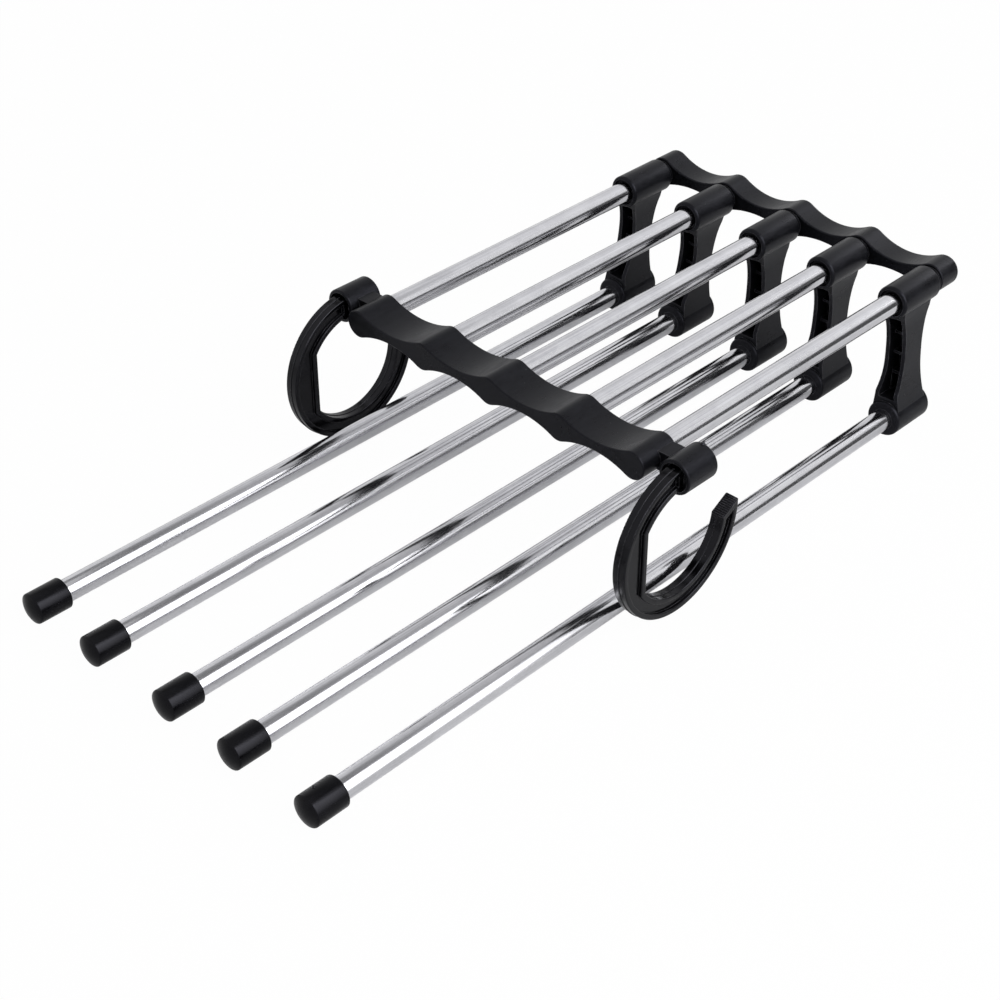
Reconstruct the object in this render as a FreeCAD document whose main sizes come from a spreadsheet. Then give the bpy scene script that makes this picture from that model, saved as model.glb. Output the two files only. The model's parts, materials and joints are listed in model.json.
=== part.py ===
import FreeCAD, Part
import math
import operator
import os
import Sketcher
from FreeCAD import Placement, Rotation, Vector
from types import SimpleNamespace

# Five-tier folding trouser hanger, in millimetres, standing on its links and caps with +Z up.
# The origin lies under the middle of the hanger. X runs along the two beams and Y along the tubes and
# rods, with the caps at the low end of Y.

TIERS = 5
CHANNEL_CELLS = 4
NEARNESS = 1e-4

SIZES = {
    # Tubes and rods
    "tier_pitch": 35.5,
    "tube_diameter": 9.0,
    "tube_wall": 0.5,
    "upper_tube_length": 191.4,
    "rod_length": 337.0,
    # Fits, on the radius or along the tube
    "seat_clearance": 0.02,
    "running_clearance": 0.06,
    "end_play": 0.3,
    # Rear beam
    "rear_beam_depth": 12.2,
    "rear_boss_radius": 6.4,
    "rear_boss_rise": 0.6,
    "rear_valley_top": 1.7,
    "rear_valley_bottom": 3.0,
    "rear_socket_depth": 9.4,
    "rear_edge_round": 1.4,
    "shoulder_diameter": 11.6,
    "shoulder_length": 1.6,
    # Front beam and its hook collars
    "front_beam_depth": 18.4,
    "front_boss_radius": 5.8,
    "front_valley_top": 2.1,
    "front_valley_bottom": 1.9,
    "front_socket_depth": 14.0,
    "beam_edge_round": 0.6,
    "hook_collar_offset": 15.6,
    "hook_collar_diameter": 14.0,
    "hook_collar_length": 16.0,
    "hook_collar_setback": 2.5,
    "hook_mouth_diameter": 11.4,
    "hook_head_recess": 3.6,
    "neck_length": 8.5,
    "neck_height": 8.0,
    # Swing links
    "link_centres": 54.0,
    "upper_collar_diameter": 14.2,
    "lower_collar_diameter": 15.4,
    "upper_collar_length": 25.0,
    "lower_collar_length": 22.6,
    "collar_lip_round": 1.2,
    "collar_back_round": 1.0,
    "recess_diameter": 11.4,
    "recess_depth": 6.5,
    "rod_socket_depth": 18.0,
    "web_width": 9.6,
    "web_head_width": 13.2,
    "web_foot_width": 14.2,
    "web_lip_setback": 1.6,
    "web_front_setback": 7.0,
    "web_front_top": 14.0,
    "web_front_bottom": 30.0,
    "web_front_round": 6.0,
    "web_rear_setback": 2.0,
    "web_back": 16.4,
    "web_head_flare": 13.0,
    "web_flare_start": 31.0,
    "web_straight_top": 14.0,
    "web_straight_bottom": 34.0,
    "web_back_round": 5.0,
    "channel_wall": 1.8,
    "channel_back_wall": 2.4,
    "channel_end_wall": 1.6,
    "rib_setback": 2.4,
    "rib_thickness": 1.2,
    # Retaining rings
    "ring_diameter": 10.8,
    "ring_length": 5.0,
    # End caps
    "cap_diameter": 12.3,
    "cap_length": 15.4,
    "cap_end_wall": 2.0,
    "cap_front_round": 2.0,
    "cap_rim_round": 0.4,
    # Hooks
    "hook_radius": 32.0,
    "hook_width": 8.4,
    "hook_thickness": 5.8,
    "hook_chord_inset": 4.0,
    "hook_centre_offset": 2.0,
    "hook_rim": 2.3,
    "hook_groove_depth": 1.4,
    "hook_inset": 1.8,
    "hook_tip_rise": 2.0,
    "hook_tip_chamfer": 1.6,
    "hook_end_wall": 2.4,
    "hook_edge_round": 0.5,
    "pin_diameter": 7.0,
    "pin_head_diameter": 8.6,
    "pin_head_length": 2.4,
    "pin_head_chamfer": 0.9,
    "pin_slot_width": 1.6,
    "pin_slot_length": 9.0,
    # Lean of each arm from the upright as it stands, in degrees towards +X
    "lean_1": -4.8,
    "lean_2": -5.5,
    "lean_3": 0.6,
    "lean_4": 0.0,
    "lean_5": 3.4,
}

OPERATIONS = {
    "+": operator.add,
    "-": operator.sub,
    "*": operator.mul,
    "/": operator.truediv,
    "^": operator.pow,
}


class Size:
    """A value together with the expression that gives it from the cells of the sheet."""

    def __init__(self, value, text):
        self.value = value
        self.text = text

    def __add__(self, other):
        return combine(self, "+", other)

    def __radd__(self, other):
        return combine(other, "+", self)

    def __sub__(self, other):
        return combine(self, "-", other)

    def __mul__(self, other):
        return combine(self, "*", other)

    def __rmul__(self, other):
        return combine(other, "*", self)

    def __truediv__(self, other):
        return combine(self, "/", other)

    def __pow__(self, other):
        return combine(self, "^", other)

    def __neg__(self):
        return combine(-1, "*", self)


def as_size(thing):
    """A plain number becomes a Size, and a Size stays as it is."""
    if isinstance(thing, Size):
        return thing
    return Size(float(thing), f"({float(thing)})")


def combine(left, sign, right):
    left, right = as_size(left), as_size(right)
    return Size(OPERATIONS[sign](left.value, right.value), f"({left.text} {sign} {right.text})")


def root(size):
    return Size(math.sqrt(size.value), f"sqrt({size.text})")


doc = FreeCAD.newDocument("trouser_hanger")
sheet = doc.addObject("Spreadsheet::Sheet", "sizes")
for row, (alias, value) in enumerate(SIZES.items(), start=1):
    sheet.set(f"A{row}", alias)
    sheet.set(f"B{row}", str(value))
    sheet.setAlias(f"B{row}", alias)
doc.recompute()
s = SimpleNamespace(**{alias: Size(value, f"sizes.{alias}") for alias, value in SIZES.items()})

# Places that follow from the sizes
upper_collar_radius = s.upper_collar_diameter / 2
lower_collar_radius = s.lower_collar_diameter / 2
seat_radius = s.tube_diameter / 2 + s.seat_clearance
running_radius = s.tube_diameter / 2 + s.running_clearance
axis_height = s.link_centres + lower_collar_radius
link_front_depth = s.rear_beam_depth + s.shoulder_length + s.end_play + s.upper_collar_length
overall_length = link_front_depth - s.rod_socket_depth + s.rod_length + s.cap_end_wall
rear_beam_face_y = overall_length / 2 - s.rear_beam_depth
link_front_y = overall_length / 2 - link_front_depth
tube_back_y = rear_beam_face_y + s.rear_socket_depth
front_beam_back_y = tube_back_y - s.upper_tube_length + s.front_socket_depth
outer_tube_x = s.tier_pitch * ((TIERS - 1) / 2)
hook_collar_x = outer_tube_x + s.hook_collar_offset
hook_collar_front = s.hook_collar_length - s.hook_collar_setback
hook_y = front_beam_back_y - hook_collar_front + s.hook_inset
hook_inner_radius = s.hook_radius - s.hook_width
hook_chord = hook_inner_radius - s.hook_chord_inset
hook_centre_y = s.hook_centre_offset
hook_centre_z = s.hook_width / 2 - s.hook_radius


def tier_x(tier):
    """Place of a tier along the beams, counted from 1."""
    return s.tier_pitch * (tier - (TIERS + 1) / 2)


def new_body(label, x, y, z, lean=None):
    """A body placed in the hanger's frame, and leaned about its own Y axis where lean is given."""
    body = doc.addObject("PartDesign::Body", label)
    body.Label = label
    if lean:
        body.Placement = Placement(Vector(), Rotation(Vector(0, -1, 0), 1))
        body.setExpression("Placement.Rotation.Angle", lean.text)
    for axis, place in zip("xyz", (x, y, z)):
        body.setExpression(f"Placement.Base.{axis}", as_size(place).text)
    return body


def new_sketch(body, role, offset=None):
    """A sketch on one of the body's origin planes, moved along the plane's normal by offset."""
    plane = next(feature for feature in body.Origin.OriginFeatures if feature.Role == role)
    sketch = body.newObject("Sketcher::SketchObject", f"{body.Label}_sketch")
    sketch.AttachmentSupport = [(plane, "")]
    sketch.MapMode = "FlatFace"
    if offset:
        sketch.setExpression("AttachmentOffset.Base.z", offset.text)
    return sketch


def constrain(sketch, kind, size, *where):
    """Add a dimension to a sketch and bind it to a size."""
    size = as_size(size)
    index = sketch.addConstraint(Sketcher.Constraint(kind, *where, size.value))
    sketch.setExpression(f"Constraints[{index}]", size.text)


def pin_point(sketch, geometry, point, x, y):
    constrain(sketch, "DistanceX", x, -1, 1, geometry, point)
    constrain(sketch, "DistanceY", y, -1, 1, geometry, point)


def add_circle(sketch, x, y, radius):
    centre = Vector(as_size(x).value, as_size(y).value, 0)
    circle = sketch.addGeometry(Part.Circle(centre, Vector(0, 0, 1), radius.value))
    pin_point(sketch, circle, 3, x, y)
    constrain(sketch, "Radius", radius, circle)


def arc_between(start, end, radius, turn):
    """The arc of under half a circle from start to end, counterclockwise where turn is 1."""
    half = (end - start) * 0.5
    left = Vector(-half.y, half.x, 0).normalize()
    centre = start + half + left * (turn * math.sqrt(radius ** 2 - half.Length ** 2))
    first, last = (start, end) if turn > 0 else (end, start)
    first_angle = math.atan2(first.y - centre.y, first.x - centre.x)
    last_angle = math.atan2(last.y - centre.y, last.x - centre.x)
    if last_angle < first_angle:
        last_angle += 2 * math.pi
    return Part.ArcOfCircle(Part.Circle(centre, Vector(0, 0, 1), radius), first_angle, last_angle)


def add_outline(sketch, corners):
    """A closed outline through corners (x, y, radius, turn), each with the edge that leaves it.

    A straight edge has no radius. An arc runs counterclockwise where turn is 1, clockwise where it is -1.
    """
    points = [Vector(as_size(x).value, as_size(y).value, 0) for x, y, _, _ in corners]
    edges = []
    for (_, _, radius, turn), start, end in zip(corners, points, points[1:] + points[:1]):
        curve = arc_between(start, end, radius.value, turn) if radius else Part.LineSegment(start, end)
        leaves, arrives = (1, 2) if turn > 0 else (2, 1)
        edges.append((sketch.addGeometry(curve), leaves, arrives))
    for (edge, _, arrives), (following, leaves, _) in zip(edges, edges[1:] + edges[:1]):
        sketch.addConstraint(Sketcher.Constraint("Coincident", edge, arrives, following, leaves))
    for (edge, leaves, _), (x, y, radius, _) in zip(edges, corners):
        pin_point(sketch, edge, leaves, x, y)
        if radius:
            constrain(sketch, "Radius", radius, edge)


def add_polygon(sketch, points):
    add_outline(sketch, [(x, y, None, 1) for x, y in points])


def add_rectangle(sketch, low_x, high_x, low_y, high_y):
    add_polygon(sketch, ((low_x, low_y), (high_x, low_y), (high_x, high_y), (low_x, high_y)))


def extrude(body, kind, sketch, length, reverse=False, both_ways=False):
    """A Pad or Pocket of a sketch, by a length or, where that is None, through everything."""
    before = 0.0 if body.Shape.isNull() else body.Shape.Volume
    feature = body.newObject(f"PartDesign::{kind}", f"{body.Label}_{kind.lower()}")
    feature.Profile = sketch
    feature.Reversed = reverse
    if both_ways:
        feature.SideType = "Symmetric"
    if length is None:
        feature.Type = "ThroughAll"
    else:
        feature.setExpression("Length", length.text)
    doc.recompute()
    change = body.Shape.Volume - before
    if change * (1 if kind == "Pad" else -1) < NEARNESS:
        raise RuntimeError(f"{feature.Name} adds or cuts nothing")


def dress_edges(body, kind, wanted, size):
    """A Fillet or Chamfer on the edges of the body so far for which wanted(edge) is true."""
    base = body.Tip
    names = [f"Edge{place}" for place, edge in enumerate(base.Shape.Edges, start=1) if wanted(edge)]
    feature = body.newObject(f"PartDesign::{kind}", f"{body.Label}_{kind.lower()}")
    feature.Base = (base, names)
    feature.setExpression("Radius" if kind == "Fillet" else "Size", size.text)
    doc.recompute()


def lies_on(edge, axis, *places):
    """True if the whole edge lies on a plane square to the axis at one of the places."""
    low, high = getattr(edge.BoundBox, f"{axis}Min"), getattr(edge.BoundBox, f"{axis}Max")
    return any(abs(low - place) < NEARNESS and abs(high - place) < NEARNESS for place in places)


def make_tube(label, x, y, length, lean=None, axis_z=0):
    """A thin steel tube from y towards the front, with its axis at axis_z from the upper tubes' height."""
    body = new_body(label, x, y, axis_height, lean)
    sketch = new_sketch(body, "XZ_Plane")
    add_circle(sketch, 0, axis_z, s.tube_diameter / 2)
    add_circle(sketch, 0, axis_z, s.tube_diameter / 2 - s.tube_wall)
    extrude(body, "Pad", sketch, length)


def scallop_corners(boss, valley, side, rise):
    """Corners of one long side of a beam: round bosses joined by hollows that run smoothly into them.

    The side is 1 for the bottom, taken towards +X, and -1 for the top, taken towards -X.
    """
    half_pitch = s.tier_pitch / 2
    hollow = (half_pitch ** 2 + valley ** 2 - boss ** 2) / ((boss - valley) * 2)
    meet_x = half_pitch * boss / (boss + hollow) * side
    meet_z = (valley + hollow) * boss / (boss + hollow) * -side + rise
    tiers = range(1, TIERS + 1)[::side]
    corners = [(tier_x(tiers[0]) - boss * side, rise, boss, 1)]
    for tier in tiers[:-1]:
        corners.append((tier_x(tier) + meet_x, meet_z, hollow, -1))
        corners.append((tier_x(tier + side) - meet_x, meet_z, boss, 1))
    return corners


def add_scalloped_bar(body, depth, boss, valley_top, valley_bottom, rise=0, reverse=False):
    """A bar with a round boss at each tier and hollows between the bosses, above and below."""
    bottom = scallop_corners(boss, valley_bottom, 1, rise)
    top = scallop_corners(boss, valley_top, -1, rise)
    outline = new_sketch(body, "XZ_Plane")
    add_outline(outline, bottom + top)
    extrude(body, "Pad", outline, depth, reverse)


def add_tier_circles(sketch, radius):
    for tier in range(1, TIERS + 1):
        add_circle(sketch, tier_x(tier), 0, radius)


def make_rear_beam():
    """The rear beam: sockets for the upper tubes, and a shoulder round each for its link to run against."""
    body = new_body("rear_beam", 0, rear_beam_face_y, axis_height)
    add_scalloped_bar(body, s.rear_beam_depth, s.rear_boss_radius, s.rear_valley_top,
                      s.rear_valley_bottom, s.rear_boss_rise, reverse=True)
    back = s.rear_beam_depth.value
    dress_edges(body, "Fillet", lambda edge: lies_on(edge, "Y", back), s.rear_edge_round)
    dress_edges(body, "Fillet", lambda edge: lies_on(edge, "Y", 0), s.beam_edge_round)
    shoulders = new_sketch(body, "XZ_Plane")
    add_tier_circles(shoulders, s.shoulder_diameter / 2)
    extrude(body, "Pad", shoulders, s.shoulder_length)
    sockets = new_sketch(body, "XZ_Plane", s.shoulder_length)
    add_tier_circles(sockets, seat_radius)
    extrude(body, "Pocket", sockets, s.shoulder_length + s.rear_socket_depth)


def make_front_beam():
    """The front beam: sockets from behind for the upper tubes, and a hook collar on a neck at each end."""
    body = new_body("front_beam", 0, front_beam_back_y, axis_height)
    add_scalloped_bar(body, s.front_beam_depth, s.front_boss_radius, s.front_valley_top,
                      s.front_valley_bottom)
    front = -s.front_beam_depth.value
    dress_edges(body, "Fillet", lambda edge: lies_on(edge, "Y", front, 0), s.beam_edge_round)
    for side in (-1, 1):
        neck = new_sketch(body, "XZ_Plane", s.beam_edge_round)
        add_rectangle(neck, outer_tube_x * side, hook_collar_x * side, -s.neck_height / 2, s.neck_height / 2)
        extrude(body, "Pad", neck, s.neck_length)
        collar = new_sketch(body, "XZ_Plane", -s.hook_collar_setback)
        add_circle(collar, hook_collar_x * side, 0, s.hook_collar_diameter / 2)
        extrude(body, "Pad", collar, s.hook_collar_length)
    ends = (s.hook_collar_setback.value, -hook_collar_front.value)
    dress_edges(body, "Fillet", lambda edge: lies_on(edge, "Y", *ends), s.beam_edge_round)
    sockets = new_sketch(body, "XZ_Plane")
    add_tier_circles(sockets, seat_radius)
    extrude(body, "Pocket", sockets, s.front_socket_depth, reverse=True)
    for side in (-1, 1):
        bore = new_sketch(body, "XZ_Plane", hook_collar_front)
        add_circle(bore, hook_collar_x * side, 0, s.pin_diameter / 2 + s.running_clearance)
        extrude(body, "Pocket", bore, None)
        mouth = new_sketch(body, "XZ_Plane", hook_collar_front)
        add_circle(mouth, hook_collar_x * side, 0, s.hook_mouth_diameter / 2)
        extrude(body, "Pocket", mouth, s.hook_inset + s.end_play)
        recess = new_sketch(body, "XZ_Plane", -s.hook_collar_setback)
        add_circle(recess, hook_collar_x * side, 0, s.pin_head_diameter / 2 + s.end_play)
        extrude(body, "Pocket", recess, s.hook_head_recess, reverse=True)


def flare_radius(width, length):
    """Radius of an arc that leaves a straight side and moves out by width over a length."""
    return (length ** 2 + width ** 2) / (width * 2)


def round_web_bends(body, depth, top, bottom, size):
    """Round the two bends of a waist in the web, which lie at one depth."""
    bends = (-top.value, -bottom.value)
    dress_edges(body, "Fillet", lambda edge: lies_on(edge, "Y", depth.value) and lies_on(edge, "Z", *bends),
                size)


def add_link_web(body):
    """The link's web: flared towards both collars, and waisted in front and behind between them."""
    half_web = s.web_width / 2
    half_head = s.web_head_width / 2
    half_foot = s.web_foot_width / 2
    head_radius = flare_radius(half_head - half_web, s.web_head_flare)
    foot_radius = flare_radius(half_foot - half_web, s.link_centres - s.web_flare_start)
    web = new_sketch(body, "XZ_Plane", -s.web_lip_setback)
    add_outline(web, (
        (-half_head, 0, head_radius, -1),
        (-half_web, -s.web_head_flare, None, 1),
        (-half_web, -s.web_flare_start, foot_radius, -1),
        (-half_foot, -s.link_centres, None, 1),
        (half_foot, -s.link_centres, foot_radius, -1),
        (half_web, -s.web_flare_start, None, 1),
        (half_web, -s.web_head_flare, head_radius, -1),
        (half_head, 0, None, 1),
    ))
    web_end = s.lower_collar_length - s.web_rear_setback
    extrude(body, "Pad", web, web_end - s.web_lip_setback, reverse=True)
    front = new_sketch(body, "YZ_Plane")
    add_polygon(front, (
        (0, -(upper_collar_radius + s.collar_lip_round)),
        (0, lower_collar_radius - s.link_centres),
        (s.web_front_setback, -s.web_front_bottom),
        (s.web_front_setback, -s.web_front_top),
    ))
    extrude(body, "Pocket", front, None, both_ways=True)
    round_web_bends(body, s.web_front_setback, s.web_front_top, s.web_front_bottom, s.web_front_round)
    slope = (s.link_centres - lower_collar_radius - s.web_straight_bottom) / (web_end - s.web_back)
    run_out = s.web_straight_bottom + slope * (s.upper_collar_length - s.web_back)
    waist = new_sketch(body, "YZ_Plane")
    add_polygon(waist, (
        (s.upper_collar_length, -(upper_collar_radius + s.collar_back_round)),
        (s.web_back, -s.web_straight_top),
        (s.web_back, -s.web_straight_bottom),
        (s.upper_collar_length, -run_out),
    ))
    extrude(body, "Pocket", waist, None, both_ways=True)
    round_web_bends(body, s.web_back, s.web_straight_top, s.web_straight_bottom, s.web_back_round)


def cut_link_channel(body):
    """The open channel down the front of the link's web, with ribs set back inside it."""
    half_channel = s.web_width / 2 - s.channel_wall
    top = -(upper_collar_radius + s.channel_end_wall)
    bottom = lower_collar_radius + s.channel_end_wall - s.link_centres
    cell_pitch = (top - bottom + s.rib_thickness) / CHANNEL_CELLS
    rib_front = s.web_front_setback + s.rib_setback
    foot_radius = flare_radius((s.web_foot_width - s.web_width) / 2, s.link_centres - s.web_flare_start)
    side_radius = foot_radius + s.channel_wall
    half_foot = half_channel + side_radius - root(side_radius ** 2 - (bottom + s.web_flare_start) ** 2)
    channel = new_sketch(body, "XZ_Plane")
    add_outline(channel, (
        (-half_channel, top, None, 1),
        (-half_channel, -s.web_flare_start, side_radius, -1),
        (-half_foot, bottom, None, 1),
        (half_foot, bottom, side_radius, -1),
        (half_channel, -s.web_flare_start, None, 1),
        (half_channel, top, None, 1),
    ))
    extrude(body, "Pocket", channel, rib_front)
    cells = new_sketch(body, "XZ_Plane", -rib_front)
    for cell in range(CHANNEL_CELLS):
        cell_top = top - cell_pitch * cell
        add_rectangle(cells, -half_channel, half_channel, cell_top - cell_pitch + s.rib_thickness, cell_top)
    extrude(body, "Pocket", cells, s.web_back - s.channel_back_wall - rib_front)


def make_link(tier, lean):
    """A swing link: a collar that runs on the upper tube, a waisted web and a collar that holds the rod."""
    body = new_body(f"link_{tier}", tier_x(tier), link_front_y, axis_height, lean)
    upper = new_sketch(body, "XZ_Plane")
    add_circle(upper, 0, 0, upper_collar_radius)
    extrude(body, "Pad", upper, s.upper_collar_length, reverse=True)
    add_link_web(body)
    lower = new_sketch(body, "XZ_Plane")
    add_circle(lower, 0, -s.link_centres, lower_collar_radius)
    extrude(body, "Pad", lower, s.lower_collar_length, reverse=True)
    backs = (s.upper_collar_length.value, s.lower_collar_length.value)
    dress_edges(body, "Fillet", lambda edge: lies_on(edge, "Y", 0), s.collar_lip_round)
    dress_edges(body, "Fillet", lambda edge: lies_on(edge, "Y", *backs), s.collar_back_round)
    cut_link_channel(body)
    bore = new_sketch(body, "XZ_Plane")
    add_circle(bore, 0, 0, running_radius)
    extrude(body, "Pocket", bore, None)
    recess = new_sketch(body, "XZ_Plane")
    add_circle(recess, 0, 0, s.recess_diameter / 2)
    extrude(body, "Pocket", recess, s.recess_depth)
    socket = new_sketch(body, "XZ_Plane")
    add_circle(socket, 0, -s.link_centres, seat_radius)
    extrude(body, "Pocket", socket, s.rod_socket_depth)


def make_retaining_ring(tier):
    """A ring pressed on the upper tube, just clear of the floor of the link's recess."""
    body = new_body(f"retaining_ring_{tier}", tier_x(tier), link_front_y + s.recess_depth - s.end_play,
                    axis_height)
    sketch = new_sketch(body, "XZ_Plane")
    add_circle(sketch, 0, 0, s.ring_diameter / 2)
    add_circle(sketch, 0, 0, seat_radius)
    extrude(body, "Pad", sketch, s.ring_length)


def make_end_cap(tier, lean):
    """A push-on cap with a closed, rounded front end."""
    body = new_body(f"end_cap_{tier}", tier_x(tier), s.cap_length - overall_length / 2, axis_height, lean)
    cup = new_sketch(body, "XZ_Plane")
    add_circle(cup, 0, -s.link_centres, s.cap_diameter / 2)
    extrude(body, "Pad", cup, s.cap_length)
    dress_edges(body, "Fillet", lambda edge: lies_on(edge, "Y", -s.cap_length.value), s.cap_front_round)
    dress_edges(body, "Fillet", lambda edge: lies_on(edge, "Y", 0), s.cap_rim_round)
    bore = new_sketch(body, "XZ_Plane")
    add_circle(bore, 0, -s.link_centres, seat_radius)
    extrude(body, "Pocket", bore, s.cap_length - s.cap_end_wall, reverse=True)


def add_chord_disc(sketch, radius, chord):
    """A disc about the hook's centre with its front cut off straight, at a distance of chord."""
    half = root(radius ** 2 - chord ** 2)
    add_outline(sketch, (
        (hook_centre_y - chord, hook_centre_z + half, None, 1),
        (hook_centre_y - chord, hook_centre_z - half, radius, 1),
        (hook_centre_y, hook_centre_z - radius, radius, 1),
        (hook_centre_y + radius, hook_centre_z, radius, 1),
        (hook_centre_y, hook_centre_z + radius, radius, 1),
    ))


def add_hook_ring(body):
    """The hook's ring, with a groove between two rims on each face."""
    half_thickness = s.hook_thickness / 2
    disc = new_sketch(body, "YZ_Plane")
    add_circle(disc, hook_centre_y, hook_centre_z, s.hook_radius)
    extrude(body, "Pad", disc, s.hook_thickness, both_ways=True)
    for face, reverse in ((half_thickness, False), (-half_thickness, True)):
        groove = new_sketch(body, "YZ_Plane", face)
        add_circle(groove, hook_centre_y, hook_centre_z, s.hook_radius - s.hook_rim)
        extrude(body, "Pocket", groove, s.hook_groove_depth, reverse)
    inner_rim = new_sketch(body, "YZ_Plane")
    add_chord_disc(inner_rim, hook_inner_radius + s.hook_rim, hook_chord + s.hook_rim)
    extrude(body, "Pad", inner_rim, s.hook_thickness, both_ways=True)


def cut_hook_opening(body):
    """The hook's eye and the mouth behind it, with the groove closed at the root and at the tip."""
    wall_inner = hook_inner_radius + s.hook_rim / 2
    wall_outer = s.hook_radius - s.hook_rim / 2
    tip_z = hook_centre_z + s.hook_tip_rise
    end_walls = new_sketch(body, "YZ_Plane")
    add_rectangle(end_walls, hook_centre_y + wall_inner, hook_centre_y + wall_outer,
                  tip_z - s.hook_end_wall, tip_z)
    add_rectangle(end_walls, -s.hook_end_wall, 0, hook_centre_z + wall_inner, hook_centre_z + wall_outer)
    extrude(body, "Pad", end_walls, s.hook_thickness, both_ways=True)
    eye = new_sketch(body, "YZ_Plane")
    add_chord_disc(eye, hook_inner_radius, hook_chord)
    extrude(body, "Pocket", eye, None, both_ways=True)
    mouth = new_sketch(body, "YZ_Plane")
    add_rectangle(mouth, 0, hook_centre_y + s.hook_radius + s.hook_width, tip_z, s.hook_width)
    extrude(body, "Pocket", mouth, None, both_ways=True)
    middle_y = (hook_centre_y + hook_inner_radius + s.hook_width / 2).value
    dress_edges(body, "Chamfer", lambda edge: lies_on(edge, "Z", tip_z.value)
                and edge.BoundBox.YLength < NEARNESS and 0 < edge.BoundBox.YMin < middle_y,
                s.hook_tip_chamfer)


def add_hook_pin(body):
    """The hook's pin, with a barbed head in the collar's rear recess and a slot that lets it spring."""
    head_y = s.hook_collar_length - s.hook_inset - s.hook_head_recess + s.end_play
    end_y = head_y + s.pin_head_length
    pin = new_sketch(body, "XZ_Plane")
    add_circle(pin, 0, 0, s.pin_diameter / 2)
    extrude(body, "Pad", pin, head_y, reverse=True)
    head = new_sketch(body, "XZ_Plane", -head_y)
    add_circle(head, 0, 0, s.pin_head_diameter / 2)
    extrude(body, "Pad", head, s.pin_head_length, reverse=True)
    dress_edges(body, "Chamfer", lambda edge: lies_on(edge, "Y", end_y.value), s.pin_head_chamfer)
    slot = new_sketch(body, "YZ_Plane")
    add_rectangle(slot, end_y - s.pin_slot_length, end_y, -s.pin_slot_width / 2, s.pin_slot_width / 2)
    extrude(body, "Pocket", slot, None, both_ways=True)


def make_hook(label, side):
    """A C-shaped hook, open towards the rear, with the pin that turns in its collar."""
    body = new_body(label, hook_collar_x * side, hook_y, axis_height)
    add_hook_ring(body)
    cut_hook_opening(body)
    face_x = s.hook_thickness.value / 2
    chord_y = hook_centre_y - hook_chord
    chords = (chord_y.value, (chord_y - s.hook_rim).value)
    dress_edges(body, "Fillet", lambda edge: lies_on(edge, "X", face_x, -face_x)
                and (isinstance(edge.Curve, Part.Circle) or lies_on(edge, "Y", *chords)), s.hook_edge_round)
    add_hook_pin(body)


def export_pieces():
    """Stop if a feature failed or a solid is faulty, and otherwise write one file for each piece."""
    doc.recompute()
    for item in doc.Objects:
        if "Invalid" in item.State or "Error" in item.State:
            raise RuntimeError(f"{item.Name} failed: {item.State}")
    bodies = [item for item in doc.Objects if item.TypeId == "PartDesign::Body"]
    for body in bodies:
        if body.Shape.isNull() or not body.Shape.isValid() or len(body.Shape.Solids) != 1:
            raise RuntimeError(f"{body.Label} is not one valid solid")
    os.makedirs("parts", exist_ok=True)
    for body in bodies:
        body.Shape.exportStep(os.path.join("parts", f"{body.Label}.step"))
        print(f"{body.Label}: {body.Shape.Volume:.1f} cubic mm")


make_rear_beam()
make_front_beam()
leans = (s.lean_1, s.lean_2, s.lean_3, s.lean_4, s.lean_5)
for tier, lean in enumerate(leans, start=1):
    make_tube(f"upper_tube_{tier}", tier_x(tier), tube_back_y, s.upper_tube_length)
    make_retaining_ring(tier)
    make_link(tier, lean)
    make_tube(f"lower_rod_{tier}", tier_x(tier), link_front_y + s.rod_socket_depth, s.rod_length, lean,
              -s.link_centres)
    make_end_cap(tier, lean)
make_hook("hook_left", -1)
make_hook("hook_right", 1)
export_pieces()
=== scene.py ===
"""A five-tier folding trouser hanger in polished steel tube and black moulded plastic, in metres."""

import json
import math

import bmesh
import bpy
from mathutils import Matrix, Vector

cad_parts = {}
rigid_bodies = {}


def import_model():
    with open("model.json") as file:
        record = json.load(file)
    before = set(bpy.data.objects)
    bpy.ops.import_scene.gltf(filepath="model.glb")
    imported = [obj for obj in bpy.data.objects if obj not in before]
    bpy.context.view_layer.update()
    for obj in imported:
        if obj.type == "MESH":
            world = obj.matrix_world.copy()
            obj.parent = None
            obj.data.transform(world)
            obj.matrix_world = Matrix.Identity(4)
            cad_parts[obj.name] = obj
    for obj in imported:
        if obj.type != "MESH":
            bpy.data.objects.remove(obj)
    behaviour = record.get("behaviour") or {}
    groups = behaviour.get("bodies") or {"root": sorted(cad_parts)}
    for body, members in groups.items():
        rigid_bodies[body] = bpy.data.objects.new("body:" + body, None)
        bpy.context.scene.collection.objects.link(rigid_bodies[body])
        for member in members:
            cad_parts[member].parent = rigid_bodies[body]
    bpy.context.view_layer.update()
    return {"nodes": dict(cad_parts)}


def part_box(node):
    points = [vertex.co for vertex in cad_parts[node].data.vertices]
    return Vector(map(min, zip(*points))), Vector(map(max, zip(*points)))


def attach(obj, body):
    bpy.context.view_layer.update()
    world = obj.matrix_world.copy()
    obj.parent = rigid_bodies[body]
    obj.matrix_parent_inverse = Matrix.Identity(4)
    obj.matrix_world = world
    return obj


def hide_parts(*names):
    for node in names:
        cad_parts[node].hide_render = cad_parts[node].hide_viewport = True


for leftover in list(bpy.data.objects):
    bpy.data.objects.remove(leftover)
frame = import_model()

# The tiers lie side by side along X, with their tubes and rods along Y. Angles are in degrees.
TIERS = range(1, 6)
MIDDLE_TIER = 3
TIER_PITCH = 0.0355
AXIS_HEIGHT = 0.0617
LINK_CENTRES = 0.054
ARM_LEANS = {1: -4.8, 2: -5.5, 3: 0.6, 4: 0.0, 5: 3.4}
TUBE_DIAMETER = 0.009
TUBE_WALL = 0.0005
TUBE_EDGE_BREAK = 0.00015
TUBE_SEGMENTS = 128

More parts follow.
